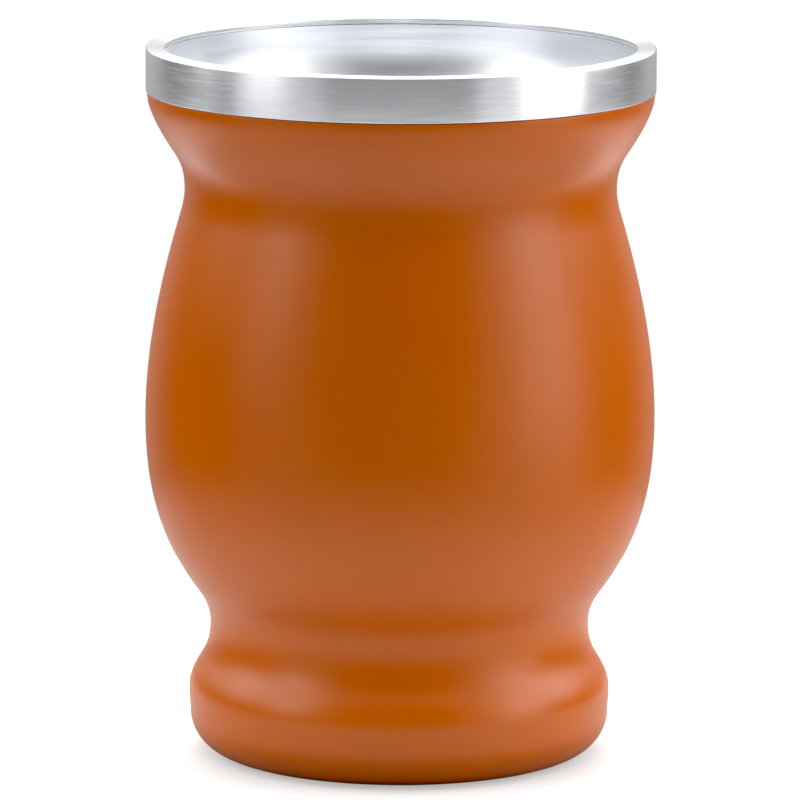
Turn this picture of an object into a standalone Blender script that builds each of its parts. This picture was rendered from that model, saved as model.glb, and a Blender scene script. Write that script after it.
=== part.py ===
"""A double-walled steel mate cup: a waisted, powder-coated body, a bare rim band and a steel liner.

Units are metres, +Z is up, and the origin is the centre of the base, on the standing surface.
Every shape here is turned about the Z axis.
"""

from math import cos, pi, sin

import bpy

# The outside. Depths are measured down from the rim's top face, and a slope is the change of
# radius with height.
HEIGHT = 0.1066
RIM_RADIUS = 0.0380
BAND_HEIGHT = 0.0066
COAT_EDGE_SLOPE = 0.12
FLARE_DEPTH = 0.0157
FLARE_RADIUS = 0.0338
FLARE_SLOPE = 0.666
NECK_DEPTH = 0.0212
NECK_RADIUS = 0.03225
SHOULDER_DEPTH = 0.0250
SHOULDER_RADIUS = 0.03288
SHOULDER_SLOPE = -0.297
BELLY_DEPTH = 0.0560
BELLY_RADIUS = 0.0382
TUCK_DEPTH = 0.0817
TUCK_RADIUS = 0.03046
TUCK_SLOPE = 0.75
WAIST_DEPTH = 0.0872
WAIST_RADIUS = 0.0285
ANKLE_DEPTH = 0.0926
ANKLE_RADIUS = 0.0300
ANKLE_SLOPE = -0.66
FOOT_DEPTH = 0.0970
FOOT_RADIUS = 0.0317
FOOT_FILLET = 0.0060
FILLET_SLOPE = 0.05
STANDING_RADIUS = 0.0255

# The shallow recess inside the ring that the cup stands on.
RECESS_RADIUS = 0.0200
RECESS_DEPTH = 0.0010
RECESS_TAPER = 0.0010

# The lip and the inside.
LIP_WIDTH = 0.0029
LIP_THICKNESS = 0.0009
LIP_EDGE = 0.0003
LINER_THICKNESS = 0.0008
LINER_STRAIGHT = 0.0045
LINER_FLARE_DEPTH = 0.0155
LINER_FLARE_RADIUS = 0.0304
LINER_FLARE_SLOPE = 0.60
LINER_NECK_DEPTH = 0.0217
LINER_NECK_RADIUS = 0.0287
LINER_BELLY_DEPTH = 0.0540
LINER_BELLY_RADIUS = 0.0339
LINER_FLOOR_DEPTH = 0.0830

# Neighbouring solids keep this distance.
GAP = 0.0003

# How finely the shapes are turned and divided.
SEGMENTS = 60
OUTSIDE_SPACING = 0.0036
LINER_SPACING = 0.0055
FILLET_STEPS = 6
BOWL_STEPS = 9
LIP_EDGE_STEPS = 2
MERGE_DISTANCE = 0.00001

MOUTH_RADIUS = RIM_RADIUS - LIP_WIDTH


def from_rim(depth):
    """The height of a point that lies this far below the rim."""
    return HEIGHT - depth


def smooth_outline(stations, spacing):
    """Points on a smooth curve through (radius, height, slope) stations, listed top to bottom.

    The last station's own point is left out, because a fillet or the bowl starts there.
    """
    points = []
    for (r0, z0, m0), (r1, z1, m1) in zip(stations, stations[1:]):
        drop = z1 - z0
        steps = max(2, round(abs(drop) / spacing))
        for step in range(steps):
            t = step / steps
            radius = (
                (2 * t**3 - 3 * t**2 + 1) * r0
                + (t**3 - 2 * t**2 + t) * drop * m0
                + (3 * t**2 - 2 * t**3) * r1
                + (t**3 - t**2) * drop * m1
            )
            points.append((radius, z0 + t * drop))
    return points


def quarter_turn(centre, half_width, half_height, start, steps):
    """A quarter of an ellipse, clockwise from start with +X right and +Z up, both ends included."""
    points = []
    for step in range(steps + 1):
        angle = start - step / steps * pi / 2
        points.append((centre[0] + half_width * cos(angle), centre[1] + half_height * sin(angle)))
    return points


def outside_of_body():
    """The coated outside from the band down to the standing ring."""
    stations = [
        (RIM_RADIUS, from_rim(BAND_HEIGHT), COAT_EDGE_SLOPE),
        (FLARE_RADIUS, from_rim(FLARE_DEPTH), FLARE_SLOPE),
        (NECK_RADIUS, from_rim(NECK_DEPTH), 0.0),
        (SHOULDER_RADIUS, from_rim(SHOULDER_DEPTH), SHOULDER_SLOPE),
        (BELLY_RADIUS, from_rim(BELLY_DEPTH), 0.0),
        (TUCK_RADIUS, from_rim(TUCK_DEPTH), TUCK_SLOPE),
        (WAIST_RADIUS, from_rim(WAIST_DEPTH), 0.0),
        (ANKLE_RADIUS, from_rim(ANKLE_DEPTH), ANKLE_SLOPE),
        (FOOT_RADIUS, from_rim(FOOT_DEPTH), 0.0),
        (STANDING_RADIUS + FOOT_FILLET, FOOT_FILLET, FILLET_SLOPE),
    ]
    fillet_centre = (STANDING_RADIUS, FOOT_FILLET)
    fillet = quarter_turn(fillet_centre, FOOT_FILLET, FOOT_FILLET, 0.0, FILLET_STEPS)
    return smooth_outline(stations, OUTSIDE_SPACING) + fillet


def wall_of_liner(offset):
    """The liner's wall from the mouth to the floor's centre, this far outside its inner face."""
    belly_height = from_rim(LINER_BELLY_DEPTH)
    bowl_depth = LINER_FLOOR_DEPTH - LINER_BELLY_DEPTH + offset
    stations = [
        (MOUTH_RADIUS + offset, from_rim(LIP_THICKNESS + GAP), 0.0),
        (MOUTH_RADIUS + offset, from_rim(LINER_STRAIGHT), 0.0),
        (LINER_FLARE_RADIUS + offset, from_rim(LINER_FLARE_DEPTH), LINER_FLARE_SLOPE),
        (LINER_NECK_RADIUS + offset, from_rim(LINER_NECK_DEPTH), 0.0),
        (LINER_BELLY_RADIUS + offset, belly_height, 0.0),
    ]
    bowl = quarter_turn((0.0, belly_height), LINER_BELLY_RADIUS + offset, bowl_depth, 0.0, BOWL_STEPS)
    return smooth_outline(stations, LINER_SPACING) + bowl


def profile_of_body():
    """The body's section, from the axis under the liner round to the axis of the base."""
    top = from_rim(BAND_HEIGHT + GAP)
    pocket_wall = wall_of_liner(LINER_THICKNESS + GAP)
    pocket = [point for point in reversed(pocket_wall) if point[1] < top - GAP]
    pocket.append((MOUTH_RADIUS + LINER_THICKNESS + GAP, top))
    outside = [(RIM_RADIUS, top)] + outside_of_body()[1:]
    base = [
        (RECESS_RADIUS, 0.0),
        (RECESS_RADIUS - RECESS_TAPER, RECESS_DEPTH),
        (0.0, RECESS_DEPTH),
    ]
    return pocket + outside + base


def profile_of_liner():
    """The liner's section, up the inner face from the floor and down the outer one."""
    return list(reversed(wall_of_liner(0.0))) + wall_of_liner(LINER_THICKNESS)


def profile_of_band():
    """The band's closed section: the outer face, and the lip that reaches in over the liner."""
    bottom = from_rim(BAND_HEIGHT)
    hidden_radius = MOUTH_RADIUS + LINER_THICKNESS + GAP
    under_lip = from_rim(LIP_THICKNESS)
    edge_height = from_rim(LIP_EDGE)
    outer_centre = (RIM_RADIUS - LIP_EDGE, edge_height)
    inner_centre = (MOUTH_RADIUS + LIP_EDGE, edge_height)
    outer_edge = quarter_turn(outer_centre, LIP_EDGE, LIP_EDGE, pi / 2, LIP_EDGE_STEPS)
    inner_edge = quarter_turn(inner_centre, LIP_EDGE, LIP_EDGE, pi, LIP_EDGE_STEPS)
    underside = [
        (RIM_RADIUS, bottom),
        (hidden_radius, bottom),
        (hidden_radius, under_lip),
        (MOUTH_RADIUS, under_lip),
    ]
    return outer_edge + underside + inner_edge


def material(name, colour, roughness, metallic):
    """A plain finish."""
    finish = bpy.data.materials.new(name)
    finish.use_nodes = True
    shader = finish.node_tree.nodes["Principled BSDF"]
    shader.inputs["Base Color"].default_value = (*colour, 1.0)
    shader.inputs["Roughness"].default_value = roughness
    shader.inputs["Metallic"].default_value = metallic
    return finish


def turned(name, profile, closed, finish):
    """An object turned about Z from a profile of (radius, height) points."""
    count = len(profile)
    edges = [(index, index + 1) for index in range(count - 1)]
    if closed:
        edges.append((count - 1, 0))
    mesh = bpy.data.meshes.new(name)
    mesh.from_pydata([(radius, 0.0, height) for radius, height in profile], edges, [])
    mesh.materials.append(finish)
    item = bpy.data.objects.new(name, mesh)
    bpy.context.collection.objects.link(item)
    screw = item.modifiers.new("Turn", "SCREW")
    screw.axis = "Z"
    screw.steps = SEGMENTS
    screw.render_steps = SEGMENTS
    screw.use_merge_vertices = True
    screw.merge_threshold = MERGE_DISTANCE
    screw.use_smooth_shade = True


def main():
    """Clear the scene and model the cup's three pieces."""
    for item in list(bpy.data.objects):
        bpy.data.objects.remove(item, do_unlink=True)
    coat = material("powder coat", (0.50, 0.11, 0.01), 0.42, 0.0)
    bright_steel = material("brushed steel", (0.66, 0.66, 0.67), 0.28, 1.0)
    satin_steel = material("satin steel", (0.60, 0.60, 0.61), 0.36, 1.0)
    turned("coated_body", profile_of_body(), False, coat)
    turned("rim_band", profile_of_band(), True, bright_steel)
    turned("inner_liner", profile_of_liner(), False, satin_steel)


main()
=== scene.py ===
"""Looks of a double-walled mate cup: powder-coated body, brushed rim band and satin steel liner.

Units are metres, +Z is up, and the cup stands at the origin. Every piece is turned about Z.
"""

from math import cos, pi, radians, sin

import bpy
from mathutils import Matrix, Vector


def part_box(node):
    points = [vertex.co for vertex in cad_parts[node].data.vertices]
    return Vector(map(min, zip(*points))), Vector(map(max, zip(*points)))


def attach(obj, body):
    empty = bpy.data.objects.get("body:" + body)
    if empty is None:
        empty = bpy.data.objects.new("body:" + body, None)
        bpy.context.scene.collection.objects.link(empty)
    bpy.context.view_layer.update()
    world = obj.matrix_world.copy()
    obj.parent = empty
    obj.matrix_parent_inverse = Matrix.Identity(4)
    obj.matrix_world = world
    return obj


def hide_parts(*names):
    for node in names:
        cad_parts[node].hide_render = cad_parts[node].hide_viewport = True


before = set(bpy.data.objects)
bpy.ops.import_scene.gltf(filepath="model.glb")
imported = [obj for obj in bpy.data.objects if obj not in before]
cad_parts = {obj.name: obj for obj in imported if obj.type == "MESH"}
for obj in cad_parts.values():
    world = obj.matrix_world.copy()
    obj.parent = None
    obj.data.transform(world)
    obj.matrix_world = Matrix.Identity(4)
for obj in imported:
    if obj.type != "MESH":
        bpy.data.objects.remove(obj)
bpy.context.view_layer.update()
BAND_LOW, BAND_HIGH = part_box("rim_band")
BODY_LOW, BODY_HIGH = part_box("coated_body")
LINER_LOW, LINER_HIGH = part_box("inner_liner")

bl_info = {
    "name": "Mate Cup",
    "version": (1, 0, 0),
    "blender": (4, 5, 0),
    "location": "3D View > Sidebar > Mate Cup",
    "description": "Models a double-walled mate cup with a powder coat, a brushed rim and a steel liner",
    "category": "Add Mesh",
}

# How finely the outlines are divided: the distance between rings, then the steps of each rounding.
OUTSIDE_SPACING = 0.0008
INSIDE_SPACING = 0.0010
HIDDEN_SPACING = 0.003
FOOT_STEPS = 16
BOWL_STEPS = 40
HIDDEN_BOWL_STEPS = 16
COAT_EDGE_STEPS = 4
BAND_EDGE_STEPS = 3
LIP_EDGE_STEPS = 6
FLOOR_SEGMENTS = 96
MERGE_DISTANCE = 1e-6
SMOOTH_ANGLE = radians(35)

# The steel that the liner is made of, in metres.
LINER_THICKNESS = 0.0008

# The powder coat: the size and depth of its fine grain and of its soft waves, in metres.
GRAIN_SIZE = 0.00035
GRAIN_DEPTH = 0.00002
WAVE_SIZE = 0.0030
WAVE_DEPTH = 0.00003

# Brushed steel: the width and length of a brush line, how deep the lines are, and how deep the soft
# dimples under them are, in metres.
BAND_BRUSHING = {"width": 0.00014, "length": 0.004, "depth": 0.000002, "dimples": 0.000004}
LINER_BRUSHING = {"width": 0.0002, "length": 0.010, "depth": 0.0000005, "dimples": 0.00003}

# A scratch is where a noise of this scale, beside the brush lines' own, rises over this level. The
# rise is then made this many times stronger.
SCRATCH_SCALE = 0.45
SCRATCH_LEVEL = 0.60
SCRATCH_STRENGTH = 6.0

# How much the roughness changes over the coat and the steel, and how much a scratch adds to it.
COAT_UNEVENNESS = 0.03
STEEL_UNEVENNESS = 0.04
SCRATCH_ROUGHNESS = 0.1

# Scales of the soft changes of shade and surface, in cycles to a metre.
CLOUD_SCALE = 60.0
HAZE_SCALE = 45.0
DIMPLE_SCALE = 700.0
FLOOR_SCALE = 3.0

# The darker patches of the floor, as a share of its colour.
FLOOR_SHADE = 0.985

# The pale floor: where its glow starts and fades, counted from the cup's axis, where the glow goes
# over from the camera's side to the back, along Y, and where the cup's shadow ends.
GLOW_START = (0.036, 0.046)
GLOW_FADE = (0.075, 0.110)
GLOW_TURN = (-0.04, 0.02)
SHADOW_EDGE = (0.025, 0.065)

# What is left of the glow far out and at the back, and of the floor's whiteness under the cup.
FAR_GLOW = 0.2
BACK_GLOW = 0.3
SHADOW_WHITE = 0.4

# How far the camera sees, counted in its distance from the cup.
SIGHT = 10


def length(name, description, default):
    """A size in metres that a user can change."""
    return bpy.props.FloatProperty(
        name=name, description=description, default=default, precision=5, unit="LENGTH"
    )


def amount(name, description, default, most=1.0):
    """A plain number from nothing up to a given most."""
    return bpy.props.FloatProperty(name=name, description=description, default=default, min=0.0, max=most)


def slope(name, description, default):
    """The change of radius with height at a station of an outline."""
    return bpy.props.FloatProperty(name=name, description=description, default=default)


def angle(name, description, default):
    """An angle that a user can change, given here in degrees."""
    return bpy.props.FloatProperty(
        name=name, description=description, default=radians(default), subtype="ANGLE"
    )


def colour(name, description, default):
    """A colour in linear red, green and blue."""
    return bpy.props.FloatVectorProperty(
        name=name, description=description, default=default, size=3, min=0.0, max=1.0, subtype="COLOR"
    )


class MateCupShape(bpy.types.PropertyGroup):
    """Sizes of the cup. Depths are measured down from the rim's top face."""

    height: length("Height", "From the table to the rim", BAND_HIGH.z)
    rim_radius: length("Rim radius", "Outside of the rim band", BAND_HIGH.x)
    band_height: length("Band height", "How far the bare steel reaches down", BAND_HIGH.z - BAND_LOW.z)
    lip_width: length("Lip width", "Width of the flat lip on top of the rim", 0.0029)
    lip_thickness: length("Lip thickness", "Height of the lip's inner edge over the liner", 0.0009)
    lip_edge: length("Lip edge", "Rounding of the lip's two edges", 0.0003)
    band_edge: length("Band edge", "Rounding of the band's lower edge", 0.00018)
    coat_edge: length("Coat edge", "Rounding of the coat's upper edge", 0.00015)
    coat_edge_slope: slope("Coat edge slope", "Lean of the coat where it meets the band", 0.12)
    flare_depth: length("Flare depth", "Middle of the flare between neck and band", 0.0157)
    flare_radius: length("Flare radius", "Radius at the middle of the flare", 0.0338)
    flare_slope: slope("Flare slope", "Lean at the middle of the flare", 0.666)
    neck_depth: length("Neck depth", "Narrowest place under the rim", 0.0212)
    neck_radius: length("Neck radius", "Radius of the neck", 0.03225)
    shoulder_depth: length("Shoulder depth", "Where the neck has turned into the belly", 0.0250)
    shoulder_radius: length("Shoulder radius", "Radius of the shoulder", 0.03288)
    shoulder_slope: slope("Shoulder slope", "Lean of the shoulder", -0.297)
    belly_depth: length("Belly depth", "Widest place of the body", 0.0560)
    belly_radius: length("Belly radius", "Radius of the belly", BODY_HIGH.x)
    tuck_depth: length("Tuck depth", "Steepest place under the belly", 0.0817)
    tuck_radius: length("Tuck radius", "Radius at the steepest place", 0.03046)
    tuck_slope: slope("Tuck slope", "Lean at the steepest place", 0.75)
    waist_depth: length("Waist depth", "Narrowest place over the foot", 0.0872)
    waist_radius: length("Waist radius", "Radius of the waist", 0.0285)
    ankle_depth: length("Ankle depth", "Where the waist has turned into the foot", 0.0926)
    ankle_radius: length("Ankle radius", "Radius of the ankle", 0.0300)
    ankle_slope: slope("Ankle slope", "Lean of the ankle", -0.66)
    foot_depth: length("Foot depth", "Widest place of the foot", 0.0970)
    foot_radius: length("Foot radius", "Radius of the foot", 0.0317)
    foot_fillet: length("Foot fillet", "Rounding between the foot's side and its base", 0.0060)
    fillet_slope: slope("Fillet slope", "Lean of the foot's side where the rounding starts", 0.05)
    standing_radius: length("Standing radius", "Outer edge of the ring that touches the table", 0.0255)
    recess_radius: length("Recess radius", "Inner edge of the ring that touches the table", 0.0200)
    recess_depth: length("Recess depth", "How far the underside stands off the table", 0.0010)
    recess_taper: length("Recess taper", "Width of the recess's sloping side", 0.0010)
    liner_thickness: length("Liner thickness", "Steel of the liner", LINER_THICKNESS)
    liner_straight: length("Liner straight", "How far the mouth goes straight down", 0.0045)
    liner_flare_depth: length("Liner flare depth", "Middle of the liner's flare", 0.0155)
    liner_flare_radius: length("Liner flare radius", "Radius at the middle of the liner's flare", 0.0304)
    liner_flare_slope: slope("Liner flare slope", "Lean at the middle of the liner's flare", 0.60)
    liner_neck_depth: length("Liner neck depth", "Narrowest place of the liner", 0.0217)
    liner_neck_radius: length("Liner neck radius", "Radius of the liner's neck", 0.0287)
    liner_belly_depth: length("Liner belly depth", "Widest place of the bowl", 0.0540)
    liner_belly_radius: length("Liner belly radius", "Radius of the bowl", 0.0339)
    liner_floor_depth: length(
        "Liner floor depth",
        "From the rim to the bottom of the bowl",
        BAND_HIGH.z - LINER_LOW.z - LINER_THICKNESS,
    )
    seam: length("Seam", "Width of the fine grooves where two pieces meet", 0.00008)
    segments: bpy.props.IntProperty(
        name="Segments", description="Divisions round the cup", default=192, min=24, max=512
    )


class MateCupFinish(bpy.types.PropertyGroup):
    """Colours and surface of the cup."""

    coat: colour("Coat", "Orange of the powder coat", (0.515, 0.106, 0.0))
    coat_shade: colour("Coat shade", "The coat's slightly deeper orange", (0.500, 0.101, 0.0))
    coat_roughness: amount("Coat roughness", "Satin of the coat", 0.33)
    coat_gloss: amount("Coat gloss", "How strongly the coat mirrors the lights", 0.45)
    coat_grain: length("Coat grain", "Size of the powder's fine grain", GRAIN_SIZE)
    coat_waves: length("Coat waves", "Size of the cured powder's soft waves", WAVE_SIZE)
    steel: colour("Steel", "Colour of the brushed band", (0.90, 0.91, 0.93))
    steel_shade: colour("Steel shade", "Colour in the steel's brush lines", (0.76, 0.77, 0.80))
    steel_roughness: amount("Steel roughness", "Satin of the brushed band", 0.30)
    steel_brushing: amount("Brushing", "How far the band's brush lines spread the light up and down", 0.95)
    liner: colour("Liner steel", "Colour of the steel inside", (0.92, 0.935, 0.96))
    liner_shade: colour("Liner shade", "Colour in the liner's brush lines", (0.86, 0.875, 0.905))
    liner_roughness: amount("Liner roughness", "Satin of the steel inside", 0.35)
    liner_brushing: amount("Liner brushing", "How far the brush lines inside spread the light", 0.50)


class MateCupStage(bpy.types.PropertyGroup):
    """The floor, the studio's light and the camera."""

    camera_distance: length("Camera distance", "From the cup's axis, along the floor", 1.0)
    camera_over_rim: length("Camera over rim", "Height of the camera above the rim", 0.1234)
    camera_pitch: angle("Camera pitch", "How far the camera looks down", 10.03)
    camera_roll: angle("Camera roll", "How far the camera leans", 0.2)
    focal_length: bpy.props.FloatProperty(
        name="Focal length", description="For a sensor 36 mm wide", default=304.5, subtype="DISTANCE_CAMERA"
    )
    floor_radius: length("Floor radius", "Half the width of the pale floor", 0.15)
    floor_colour: colour("Floor colour", "The pale floor", (0.45, 0.45, 0.45))
    backdrop: colour("Backdrop", "What the camera sees past the floor", (1.0, 1.0, 1.0))
    floor_glow: amount("Floor glow", "Light from under the pale floor round the cup", 0.65, 10.0)
    left_panel: amount("Left panel", "Brightness of the panel on the left", 1.00, 10.0)
    left_glow: amount("Left glow", "Brightness of the soft light over the left panel", 2.50, 10.0)
    left_wall: amount("Left wall", "Brightness of the wall that the left panel stands by", 0.38, 10.0)
    right_panel: amount("Right panel", "Brightness of the panel on the right", 1.80, 10.0)
    right_glow: amount("Right glow", "Brightness of the soft light over the right panel", 2.60, 10.0)
    right_wall: amount("Right wall", "Brightness of the wall that the right panel stands by", 0.62, 10.0)
    front_panel: amount("Front panel", "Brightness of the grey room by the camera", 0.20, 10.0)
    back_panel: amount("Back panel", "Brightness of the wide panel behind the cup", 1.90, 10.0)
    behind: amount("Behind", "Brightness of the low panel straight behind the cup", 0.30, 10.0)
    low_wall: amount("Low wall", "Brightness of the wall under the back panel", 0.36, 10.0)
    high_back: amount("High back", "Brightness of the light high behind the cup", 4.20, 10.0)
    ceiling: amount("Ceiling", "Brightness overhead", 1.40, 10.0)
    side_floor: amount("Side floor", "Added brightness of the ground at the sides and the back", 0.90, 10.0)
    far_floor: amount("Far floor", "Brightness of the ground past the pale floor", 0.80, 10.0)
    surround: amount("Surround", "Brightness of all the rest", 0.06, 10.0)
    black_level: amount("Black level", "What the picture shows as black", 0.014)


# The studio's white panels, seen from the cup: the value that holds each one's brightness, then the
# azimuth of its middle, counted from the camera's side to the right, half its width, its lower and
# upper edges, and how soft its sides are, all in degrees. A panel more than 180 to each side goes all
# round, and one past 90 up or down covers the top or the bottom.
PANELS = (
    ("left_panel", -65, 10, 4, 38, 2.5),
    ("left_glow", -83, 28, 19, 54, 5),
    ("left_wall", -58, 22, -50, 45, 2.5),
    ("right_panel", 72, 16, -8, 32, 2.5),
    ("right_glow", 94, 25, 18, 54, 5),
    ("right_wall", 64, 28, -50, 50, 2.5),
    ("front_panel", 0, 36, -50, 9, 2.5),
    ("back_panel", 180, 84, 14, 42, 2.5),
    ("behind", 180, 32, 3, 22, 5),
    ("low_wall", 180, 44, -50, 12, 10),
    ("high_back", 180, 30, 30, 75, 8),
    ("ceiling", 180, 190, 52, 110, 2.5),
    ("side_floor", 180, 78, -46, -22, 6),
    ("far_floor", 180, 190, -110, -24, 2.5),
)

# How soft every panel's lower and upper edges are, in degrees.
END_SOFTNESS = 7.0


def smooth_outline(stations, spacing):
    """Points on a smooth curve through (radius, height, slope) stations, listed top to bottom.

    The last station's own point is left out, because a fillet or the bowl starts there.
    """
    points = []
    for (r0, z0, m0), (r1, z1, m1) in zip(stations, stations[1:]):
        drop = z1 - z0
        steps = max(2, round(abs(drop) / spacing))
        for step in range(steps):
            t = step / steps
            radius = (
                (2 * t**3 - 3 * t**2 + 1) * r0
                + (t**3 - 2 * t**2 + t) * drop * m0
                + (3 * t**2 - 2 * t**3) * r1
                + (t**3 - t**2) * drop * m1
            )
            points.append((radius, z0 + t * drop))
    return points


def quarter_turn(centre, half_width, half_height, start, steps):
    """A quarter of an ellipse, clockwise from start with +X right and +Z up, both ends included."""
    points = []
    for step in range(steps + 1):
        turn = start - step / steps * pi / 2
        points.append((centre[0] + half_width * cos(turn), centre[1] + half_height * sin(turn)))
    return points


def outside_of_body(shape, top):
    """The coated outside from its upper edge, at this height, down to the standing ring."""
    rim = shape.height
    stations = [
        (shape.rim_radius, rim - shape.band_height, shape.coat_edge_slope),
        (shape.flare_radius, rim - shape.flare_depth, shape.flare_slope),
        (shape.neck_radius, rim - shape.neck_depth, 0.0),
        (shape.shoulder_radius, rim - shape.shoulder_depth, shape.shoulder_slope),
        (shape.belly_radius, rim - shape.belly_depth, 0.0),
        (shape.tuck_radius, rim - shape.tuck_depth, shape.tuck_slope),
        (shape.waist_radius, rim - shape.waist_depth, 0.0),
        (shape.ankle_radius, rim - shape.ankle_depth, shape.ankle_slope),
        (shape.foot_radius, rim - shape.foot_depth, 0.0),
        (shape.standing_radius + shape.foot_fillet, shape.foot_fillet, shape.fillet_slope),
    ]
    side = [point for point in smooth_outline(stations, OUTSIDE_SPACING) if point[1] < top]
    centre = (shape.standing_radius, shape.foot_fillet)
    return side + quarter_turn(centre, shape.foot_fillet, shape.foot_fillet, 0.0, FOOT_STEPS)


def wall_of_liner(shape, offset, top, spacing, bowl_steps):
    """The liner's wall from this height down to the floor's centre, this far outside its inner face."""
    rim = shape.height
    mouth = shape.rim_radius - shape.lip_width
    belly_height = rim - shape.liner_belly_depth
    bowl_depth = shape.liner_floor_depth - shape.liner_belly_depth + offset
    stations = [
        (mouth + offset, top, 0.0),
        (mouth + offset, rim - shape.liner_straight, 0.0),
        (shape.liner_flare_radius + offset, rim - shape.liner_flare_depth, shape.liner_flare_slope),
        (shape.liner_neck_radius + offset, rim - shape.liner_neck_depth, 0.0),
        (shape.liner_belly_radius + offset, belly_height, 0.0),
    ]
    bowl_centre = (0.0, belly_height)
    bowl = quarter_turn(bowl_centre, shape.liner_belly_radius + offset, bowl_depth, 0.0, bowl_steps)
    return smooth_outline(stations, spacing) + bowl


def close_at_axis(rise):
    """Draws the selected ring together into one point on the axis, this far above it."""
    bpy.ops.mesh.extrude_edges_move(TRANSFORM_OT_translate={"value": (0.0, 0.0, rise)})
    bpy.ops.mesh.merge(type="CENTER")


def turned_piece(name, profile, segments):
    """A closed piece turned about Z: one ring for each (radius, height) point, extruded from the last.

    A profile that starts and ends on the axis closes there, and any other profile closes on itself.
    """
    on_axis = profile[0][0] < MERGE_DISTANCE
    rings = profile[1:-1] if on_axis else profile + profile[:1]
    bpy.ops.object.select_all(action="DESELECT")
    radius, height = rings[0]
    bpy.ops.mesh.primitive_circle_add(vertices=segments, radius=radius, location=(0.0, 0.0, height))
    piece = bpy.context.object
    piece.name = name
    piece.data.name = name
    bpy.ops.object.transform_apply(location=True, rotation=False, scale=False)
    bpy.ops.object.mode_set(mode="EDIT")
    bpy.ops.mesh.select_mode(type="EDGE")
    bpy.ops.mesh.select_all(action="SELECT")
    for next_radius, next_height in rings[1:]:
        move = {"value": (0.0, 0.0, next_height - height)}
        bpy.ops.mesh.extrude_edges_move(TRANSFORM_OT_translate=move)
        grow = next_radius / radius
        bpy.ops.transform.resize(value=(grow, grow, 1.0), center_override=(0.0, 0.0, next_height))
        radius, height = next_radius, next_height
    if on_axis:
        close_at_axis(profile[-1][1] - height)
        bpy.ops.mesh.select_all(action="DESELECT")
        bpy.ops.mesh.select_non_manifold(
            extend=False, use_wire=False, use_boundary=True,
            use_multi_face=False, use_non_contiguous=False, use_verts=False,
        )
        close_at_axis(profile[0][1] - rings[0][1])
    bpy.ops.mesh.select_all(action="SELECT")
    bpy.ops.mesh.remove_doubles(threshold=MERGE_DISTANCE)
    bpy.ops.mesh.normals_make_consistent(inside=False)
    bpy.ops.mesh.select_all(action="DESELECT")
    bpy.ops.object.mode_set(mode="OBJECT")
    bpy.ops.object.shade_smooth_by_angle(angle=SMOOTH_ANGLE)
    return piece


def new_group(name, inputs, outputs):
    """An empty shader group with these sockets, and the ends that its nodes join."""
    group = bpy.data.node_groups.new(name, "ShaderNodeTree")
    for label, kind, default in inputs:
        socket = group.interface.new_socket(name=label, in_out="INPUT", socket_type=kind)
        if default is not None:
            socket.default_value = default
    for label, kind in outputs:
        group.interface.new_socket(name=label, in_out="OUTPUT", socket_type=kind)
    return group, group.nodes.new("NodeGroupInput"), group.nodes.new("NodeGroupOutput")


def maths(tree, operation, first, second=None):
    """A Math node's result. Each side is a socket or a plain number."""
    node = tree.nodes.new("ShaderNodeMath")
    node.operation = operation
    for slot, value in zip(node.inputs, (first, second)):
        if isinstance(value, (int, float)):
            slot.default_value = value
        elif value is not None:
            tree.links.new(value, slot)
    return node.outputs["Value"]


def noise(tree, vector, scale, detail, roughness=0.5):
    """A noise texture's value on this vector."""
    node = tree.nodes.new("ShaderNodeTexNoise")
    node.inputs["Detail"].default_value = detail
    node.inputs["Roughness"].default_value = roughness
    tree.links.new(vector, node.inputs["Vector"])
    if isinstance(scale, (int, float)):
        node.inputs["Scale"].default_value = scale
    else:
        tree.links.new(scale, node.inputs["Scale"])
    return node.outputs["Fac"]


def powder_group():
    """Fine grain and soft waves of a cured powder coat, from the size of each."""
    group, given, result = new_group(
        "Cured powder",
        [
            ("Vector", "NodeSocketVector", None),
            ("Grain size", "NodeSocketFloat", GRAIN_SIZE),
            ("Wave size", "NodeSocketFloat", WAVE_SIZE),
        ],
        [("Grain", "NodeSocketFloat"), ("Waves", "NodeSocketFloat"), ("Cloud", "NodeSocketFloat")],
    )
    place = given.outputs["Vector"]
    grain = noise(group, place, maths(group, "DIVIDE", 1.0, given.outputs["Grain size"]), 2.0)
    waves = noise(group, place, maths(group, "DIVIDE", 1.0, given.outputs["Wave size"]), 1.0)
    cloud = noise(group, place, CLOUD_SCALE, 3.0)
    group.links.new(grain, result.inputs["Grain"])
    group.links.new(waves, result.inputs["Waves"])
    group.links.new(cloud, result.inputs["Cloud"])
    return group


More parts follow.
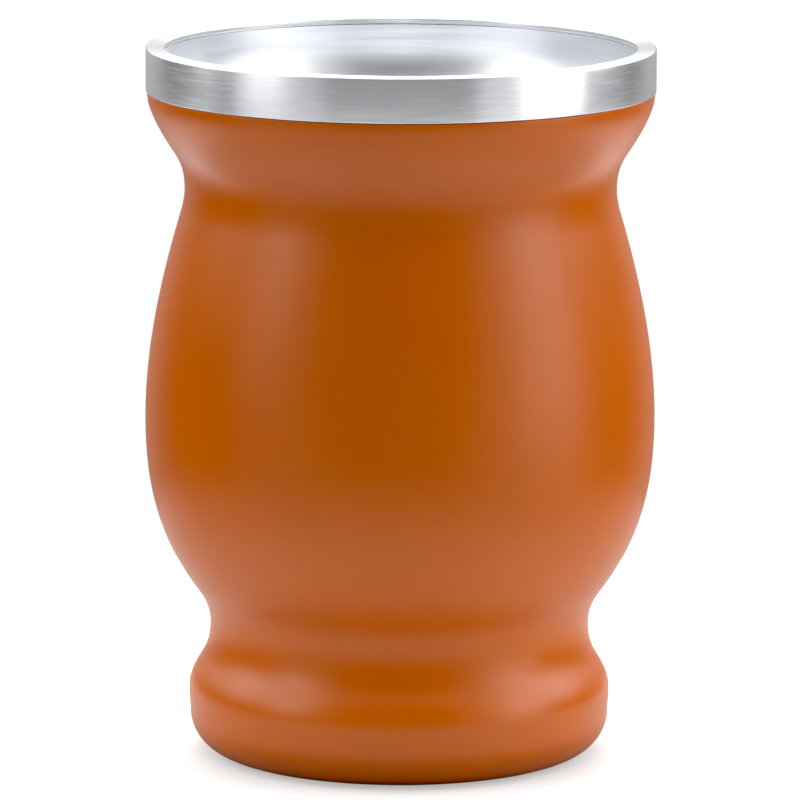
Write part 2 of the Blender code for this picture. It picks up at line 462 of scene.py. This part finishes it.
def brushing_group():
    """Brush lines that run round the Z axis, on walls and on flat rings alike."""
    group, given, result = new_group(
        "Brushed round",
        [
            ("Vector", "NodeSocketVector", None),
            ("Line width", "NodeSocketFloat", BAND_BRUSHING["width"]),
            ("Line length", "NodeSocketFloat", BAND_BRUSHING["length"]),
        ],
        [
            ("Lines", "NodeSocketFloat"),
            ("Scratches", "NodeSocketFloat"),
            ("Haze", "NodeSocketFloat"),
            ("Dimples", "NodeSocketFloat"),
        ],
    )
    parts = group.nodes.new("ShaderNodeSeparateXYZ")
    group.links.new(given.outputs["Vector"], parts.inputs["Vector"])
    x, y, z = parts.outputs["X"], parts.outputs["Y"], parts.outputs["Z"]
    squares = maths(group, "ADD", maths(group, "MULTIPLY", x, x), maths(group, "MULTIPLY", y, y))
    radius = maths(group, "SQRT", squares)
    across = maths(group, "DIVIDE", maths(group, "SUBTRACT", z, radius), given.outputs["Line width"])
    along_x = maths(group, "DIVIDE", x, given.outputs["Line length"])
    along_y = maths(group, "DIVIDE", y, given.outputs["Line length"])
    stretched = group.nodes.new("ShaderNodeCombineXYZ")
    group.links.new(along_x, stretched.inputs["X"])
    group.links.new(along_y, stretched.inputs["Y"])
    group.links.new(across, stretched.inputs["Z"])
    lines = noise(group, stretched.outputs["Vector"], 1.0, 3.0, 0.6)
    marks = noise(group, stretched.outputs["Vector"], SCRATCH_SCALE, 1.0)
    rise = maths(group, "SMOOTH_MAX", maths(group, "SUBTRACT", marks, SCRATCH_LEVEL), 0.0)
    scratches = maths(group, "MULTIPLY", rise, SCRATCH_STRENGTH)
    haze = noise(group, given.outputs["Vector"], HAZE_SCALE, 3.0)
    dimples = noise(group, given.outputs["Vector"], DIMPLE_SCALE, 2.0)
    group.links.new(lines, result.inputs["Lines"])
    group.links.new(scratches, result.inputs["Scratches"])
    group.links.new(haze, result.inputs["Haze"])
    group.links.new(dimples, result.inputs["Dimples"])
    return group


def shared_group(name, maker):
    """The shader group of this name, made the first time that it is asked for."""
    return bpy.data.node_groups.get(name) or maker()


def new_material(name):
    """A material with its shader, and a group node's place on the object's own coordinates."""
    finish = bpy.data.materials.new(name)
    finish.use_nodes = True
    tree = finish.node_tree
    place = tree.nodes.new("ShaderNodeTexCoord")
    return finish, tree, tree.nodes["Principled BSDF"], place.outputs["Object"]


def placed_group(tree, group, vector, values):
    """A group node on this vector, with its own values."""
    node = tree.nodes.new("ShaderNodeGroup")
    node.node_tree = group
    tree.links.new(vector, node.inputs["Vector"])
    for label, value in values.items():
        node.inputs[label].default_value = value
    return node


def colour_between(tree, factor, first, second):
    """A colour that goes from first to second as the factor goes from 0 to 1."""
    mix = tree.nodes.new("ShaderNodeMix")
    mix.data_type = "RGBA"
    mix.inputs["A"].default_value = (*first, 1.0)
    mix.inputs["B"].default_value = (*second, 1.0)
    tree.links.new(factor, mix.inputs["Factor"])
    return mix.outputs["Result"]


def spread(tree, value, low, high, to_low, to_high):
    """The value, moved from one range into another and kept inside it."""
    node = tree.nodes.new("ShaderNodeMapRange")
    tree.links.new(value, node.inputs["Value"])
    node.inputs["From Min"].default_value = low
    node.inputs["From Max"].default_value = high
    node.inputs["To Min"].default_value = to_low
    node.inputs["To Max"].default_value = to_high
    return node.outputs["Result"]


def bump(tree, height, distance, strength, under=None):
    """A bump's normal, on top of another bump if one is given."""
    node = tree.nodes.new("ShaderNodeBump")
    node.inputs["Distance"].default_value = distance
    node.inputs["Strength"].default_value = strength
    tree.links.new(height, node.inputs["Height"])
    if under is not None:
        tree.links.new(under, node.inputs["Normal"])
    return node.outputs["Normal"]


def powder_coat(finish_values):
    """Satin orange powder coat: fine grain, soft waves and a faint change of shade."""
    finish, tree, shader, place = new_material("Powder coat")
    values = {"Grain size": finish_values.coat_grain, "Wave size": finish_values.coat_waves}
    powder = placed_group(tree, shared_group("Cured powder", powder_group), place, values)
    cloud = spread(tree, powder.outputs["Cloud"], 0.35, 0.65, 0.0, 1.0)
    shade = colour_between(tree, cloud, finish_values.coat, finish_values.coat_shade)
    tree.links.new(shade, shader.inputs["Base Color"])
    least = finish_values.coat_roughness - COAT_UNEVENNESS
    most = finish_values.coat_roughness + COAT_UNEVENNESS
    roughness = spread(tree, powder.outputs["Grain"], 0.3, 0.7, least, most)
    tree.links.new(roughness, shader.inputs["Roughness"])
    shader.inputs["Specular IOR Level"].default_value = finish_values.coat_gloss
    waves = bump(tree, powder.outputs["Waves"], WAVE_DEPTH, 0.25)
    grain = bump(tree, powder.outputs["Grain"], GRAIN_DEPTH, 0.5, waves)
    tree.links.new(grain, shader.inputs["Normal"])
    return finish


def brushed_steel(name, steel, shade, rough, brushing_spread, sizes):
    """Bare steel brushed round the cup, with lines, a few longer scratches and a soft haze."""
    finish, tree, shader, place = new_material(name)
    values = {"Line width": sizes["width"], "Line length": sizes["length"]}
    brushing = placed_group(tree, shared_group("Brushed round", brushing_group), place, values)
    marked = maths(tree, "ADD", brushing.outputs["Lines"], brushing.outputs["Scratches"])
    lines = spread(tree, marked, 0.35, 0.80, 0.0, 1.0)
    tree.links.new(colour_between(tree, lines, steel, shade), shader.inputs["Base Color"])
    least = rough - STEEL_UNEVENNESS
    most = rough + STEEL_UNEVENNESS
    hazy = spread(tree, brushing.outputs["Haze"], 0.3, 0.7, least, most)
    scratched = maths(tree, "MULTIPLY", brushing.outputs["Scratches"], SCRATCH_ROUGHNESS)
    tree.links.new(maths(tree, "ADD", hazy, scratched), shader.inputs["Roughness"])
    height = maths(tree, "SUBTRACT", brushing.outputs["Lines"], brushing.outputs["Scratches"])
    dimpled = bump(tree, brushing.outputs["Dimples"], sizes["dimples"], 0.5)
    tree.links.new(bump(tree, height, sizes["depth"], 0.5, dimpled), shader.inputs["Normal"])
    shader.inputs["Metallic"].default_value = 1.0
    shader.inputs["Anisotropic"].default_value = brushing_spread
    shader.inputs["Anisotropic Rotation"].default_value = 0.25
    tangent = tree.nodes.new("ShaderNodeTangent")
    tangent.direction_type = "RADIAL"
    tangent.axis = "Z"
    tree.links.new(tangent.outputs["Tangent"], shader.inputs["Tangent"])
    return finish


def dress(piece, finish, node):
    """Gives a finished piece its material and its place in the frame."""
    piece.data.materials.append(finish)
    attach(piece, "root")
    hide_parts(node)


class MATECUP_OT_coated_body(bpy.types.Operator):
    """Models the waisted body in its powder coat"""

    bl_idname = "matecup.coated_body"
    bl_label = "Coated Body"

    def execute(self, context):
        shape = context.scene.mate_cup_shape
        top = shape.height - shape.band_height - shape.seam
        edge = shape.coat_edge
        pocket_offset = shape.liner_thickness + shape.seam
        pocket_wall = wall_of_liner(shape, pocket_offset, top, HIDDEN_SPACING, HIDDEN_BOWL_STEPS)
        pocket = list(reversed(pocket_wall))
        outside = outside_of_body(shape, top - edge)
        edge_centre = (outside[0][0] - edge, top - edge)
        upper_edge = quarter_turn(edge_centre, edge, edge, pi / 2, COAT_EDGE_STEPS)
        base = [
            (shape.recess_radius, 0.0),
            (shape.recess_radius - shape.recess_taper, shape.recess_depth),
            (0.0, shape.recess_depth),
        ]
        profile = pocket + upper_edge + outside[1:] + base
        piece = turned_piece("powder_coated_body", profile, shape.segments)
        dress(piece, powder_coat(context.scene.mate_cup_finish), "coated_body")
        return {"FINISHED"}


class MATECUP_OT_rim_band(bpy.types.Operator):
    """Models the bare steel band with its flat lip"""

    bl_idname = "matecup.rim_band"
    bl_label = "Rim Band"

    def execute(self, context):
        shape = context.scene.mate_cup_shape
        finish = context.scene.mate_cup_finish
        top = shape.height
        bottom = top - shape.band_height
        edge = shape.lip_edge
        mouth = shape.rim_radius - shape.lip_width
        hidden = mouth + shape.liner_thickness + shape.seam
        under_lip = top - shape.lip_thickness
        low = shape.band_edge
        low_centre = (shape.rim_radius - low, bottom + low)
        profile = (
            quarter_turn((shape.rim_radius - edge, top - edge), edge, edge, pi / 2, LIP_EDGE_STEPS)
            + [(shape.rim_radius, top - shape.band_height / 2)]
            + quarter_turn(low_centre, low, low, 0.0, BAND_EDGE_STEPS)
            + [(hidden, bottom), (hidden, under_lip), (mouth + low, under_lip)]
            + quarter_turn((mouth + edge, top - edge), edge, edge, pi, LIP_EDGE_STEPS)
        )
        piece = turned_piece("brushed_rim_band", profile, shape.segments)
        steel = brushed_steel(
            "Brushed steel",
            finish.steel,
            finish.steel_shade,
            finish.steel_roughness,
            finish.steel_brushing,
            BAND_BRUSHING,
        )
        dress(piece, steel, "rim_band")
        return {"FINISHED"}


class MATECUP_OT_inner_liner(bpy.types.Operator):
    """Models the steel liner with its rounded bowl"""

    bl_idname = "matecup.inner_liner"
    bl_label = "Inner Liner"

    def execute(self, context):
        shape = context.scene.mate_cup_shape
        finish = context.scene.mate_cup_finish
        top = shape.height - shape.lip_thickness - shape.seam
        inner = list(reversed(wall_of_liner(shape, 0.0, top, INSIDE_SPACING, BOWL_STEPS)))
        outer = wall_of_liner(shape, shape.liner_thickness, top, HIDDEN_SPACING, HIDDEN_BOWL_STEPS)
        piece = turned_piece("satin_steel_liner", inner + outer, shape.segments)
        steel = brushed_steel(
            "Satin steel",
            finish.liner,
            finish.liner_shade,
            finish.liner_roughness,
            finish.liner_brushing,
            LINER_BRUSHING,
        )
        dress(piece, steel, "inner_liner")
        return {"FINISHED"}


def floor_material(stage):
    """A plain pale floor that glows round the cup, and that the camera sees as white away from it."""
    finish, tree, shader, place = new_material("Pale floor")
    shade = [value * FLOOR_SHADE for value in stage.floor_colour]
    uneven = spread(tree, noise(tree, place, FLOOR_SCALE, 2.0), 0.3, 0.7, 0.0, 1.0)
    tree.links.new(colour_between(tree, uneven, stage.floor_colour, shade), shader.inputs["Base Color"])
    shader.inputs["Roughness"].default_value = 0.9
    shader.inputs["Specular IOR Level"].default_value = 0.1
    reach = tree.nodes.new("ShaderNodeVectorMath")
    reach.operation = "LENGTH"
    tree.links.new(place, reach.inputs[0])
    distance = reach.outputs["Value"]
    parts = tree.nodes.new("ShaderNodeSeparateXYZ")
    tree.links.new(place, parts.inputs["Vector"])
    near = spread(tree, distance, *GLOW_START, 0.0, stage.floor_glow)
    far = spread(tree, distance, *GLOW_FADE, 1.0, FAR_GLOW)
    before = spread(tree, parts.outputs["Y"], *GLOW_TURN, 1.0, BACK_GLOW)
    glow = maths(tree, "MULTIPLY", near, maths(tree, "MULTIPLY", far, before))
    away = spread(tree, distance, *SHADOW_EDGE, SHADOW_WHITE, 1.0)
    seen = tree.nodes.new("ShaderNodeLightPath")
    whitened = maths(tree, "MULTIPLY", seen.outputs["Is Camera Ray"], away)
    shader.inputs["Emission Color"].default_value = (1.0, 1.0, 1.0, 1.0)
    tree.links.new(maths(tree, "ADD", whitened, glow), shader.inputs["Emission Strength"])
    return finish


def panel_light(tree, azimuth, elevation, brightness, centre, half_width, low, high, side):
    """The light that comes from one panel of the studio, by the direction that is looked in."""
    turned = maths(tree, "COSINE", maths(tree, "SUBTRACT", azimuth, radians(centre)))
    aside = maths(tree, "ARCCOSINE", turned)
    across = spread(tree, aside, radians(half_width - side), radians(half_width + side), brightness, 0.0)
    above = spread(tree, elevation, radians(low - END_SOFTNESS), radians(low + END_SOFTNESS), 0.0, 1.0)
    below = spread(tree, elevation, radians(high - END_SOFTNESS), radians(high + END_SOFTNESS), 1.0, 0.0)
    return maths(tree, "MULTIPLY", across, maths(tree, "MULTIPLY", above, below))


def room_light(stage):
    """The studio: white panels in a dim room, and plain white where the camera looks past the floor."""
    world = bpy.data.worlds.new("Studio")
    bpy.context.scene.world = world
    world.use_nodes = True
    tree = world.node_tree
    background = tree.nodes["Background"]
    place = tree.nodes.new("ShaderNodeTexCoord")
    parts = tree.nodes.new("ShaderNodeSeparateXYZ")
    tree.links.new(place.outputs["Generated"], parts.inputs["Vector"])
    forward = maths(tree, "MULTIPLY", parts.outputs["Y"], -1.0)
    azimuth = maths(tree, "ARCTAN2", parts.outputs["X"], forward)
    elevation = maths(tree, "ARCSINE", parts.outputs["Z"])
    light = stage.surround
    for key, *edges in PANELS:
        panel = panel_light(tree, azimuth, elevation, getattr(stage, key), *edges)
        light = maths(tree, "ADD", panel, light)
    seen = tree.nodes.new("ShaderNodeLightPath")
    choice = tree.nodes.new("ShaderNodeMix")
    choice.data_type = "RGBA"
    tree.links.new(seen.outputs["Is Camera Ray"], choice.inputs["Factor"])
    tree.links.new(light, choice.inputs["A"])
    choice.inputs["B"].default_value = (*stage.backdrop, 1.0)
    tree.links.new(choice.outputs["Result"], background.inputs["Color"])


class MATECUP_OT_stage(bpy.types.Operator):
    """Sets up the pale floor, the studio's light and the camera"""

    bl_idname = "matecup.stage"
    bl_label = "Stage"

    def execute(self, context):
        stage = context.scene.mate_cup_stage
        shape = context.scene.mate_cup_shape
        bpy.ops.object.select_all(action="DESELECT")
        bpy.ops.mesh.primitive_circle_add(
            vertices=FLOOR_SEGMENTS, radius=stage.floor_radius, fill_type="NGON"
        )
        floor = context.object
        floor.name = "floor"
        floor.data.materials.append(floor_material(stage))
        room_light(stage)
        height = shape.height + stage.camera_over_rim
        bpy.ops.object.camera_add(location=(0.0, -stage.camera_distance, height))
        camera = context.object
        camera.name = "camera"
        camera.data.lens = stage.focal_length
        camera.data.clip_end = SIGHT * stage.camera_distance
        tilt = Matrix.Rotation(pi / 2 - stage.camera_pitch, 4, "X")
        lean = Matrix.Rotation(stage.camera_roll, 4, "Z")
        camera.rotation_euler = (tilt @ lean).to_euler()
        context.scene.camera = camera
        view = context.scene.view_settings
        view.view_transform = "Standard"
        view.use_curve_mapping = True
        view.curve_mapping.black_level = [stage.black_level] * 3
        view.curve_mapping.update()
        return {"FINISHED"}


class VIEW3D_PT_mate_cup(bpy.types.Panel):
    """Makes the cup's pieces and stage, and shows their sizes, finishes and light"""

    bl_label = "Mate Cup"
    bl_space_type = "VIEW_3D"
    bl_region_type = "UI"
    bl_category = "Mate Cup"

    def draw(self, context):
        scene = context.scene
        for name in ("coated_body", "rim_band", "inner_liner", "stage"):
            self.layout.operator("matecup." + name)
        for group in (scene.mate_cup_shape, scene.mate_cup_finish, scene.mate_cup_stage):
            box = self.layout.box()
            for key in group.bl_rna.properties.keys():
                if key not in ("rna_type", "name"):
                    box.prop(group, key)


CLASSES = (
    MateCupShape,
    MateCupFinish,
    MateCupStage,
    MATECUP_OT_coated_body,
    MATECUP_OT_rim_band,
    MATECUP_OT_inner_liner,
    MATECUP_OT_stage,
    VIEW3D_PT_mate_cup,
)


def register():
    """Adds the classes and the scene's three groups of values."""
    for cls in CLASSES:
        bpy.utils.register_class(cls)
    bpy.types.Scene.mate_cup_shape = bpy.props.PointerProperty(type=MateCupShape)
    bpy.types.Scene.mate_cup_finish = bpy.props.PointerProperty(type=MateCupFinish)
    bpy.types.Scene.mate_cup_stage = bpy.props.PointerProperty(type=MateCupStage)


def unregister():
    """Takes the values and the classes away again."""
    del bpy.types.Scene.mate_cup_stage
    del bpy.types.Scene.mate_cup_finish
    del bpy.types.Scene.mate_cup_shape
    for cls in reversed(CLASSES):
        bpy.utils.unregister_class(cls)


def main():
    """Registers the add-on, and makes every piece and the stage."""
    register()
    bpy.ops.matecup.coated_body()
    bpy.ops.matecup.rim_band()
    bpy.ops.matecup.inner_liner()
    bpy.ops.matecup.stage()


if __name__ == "__main__":
    main()
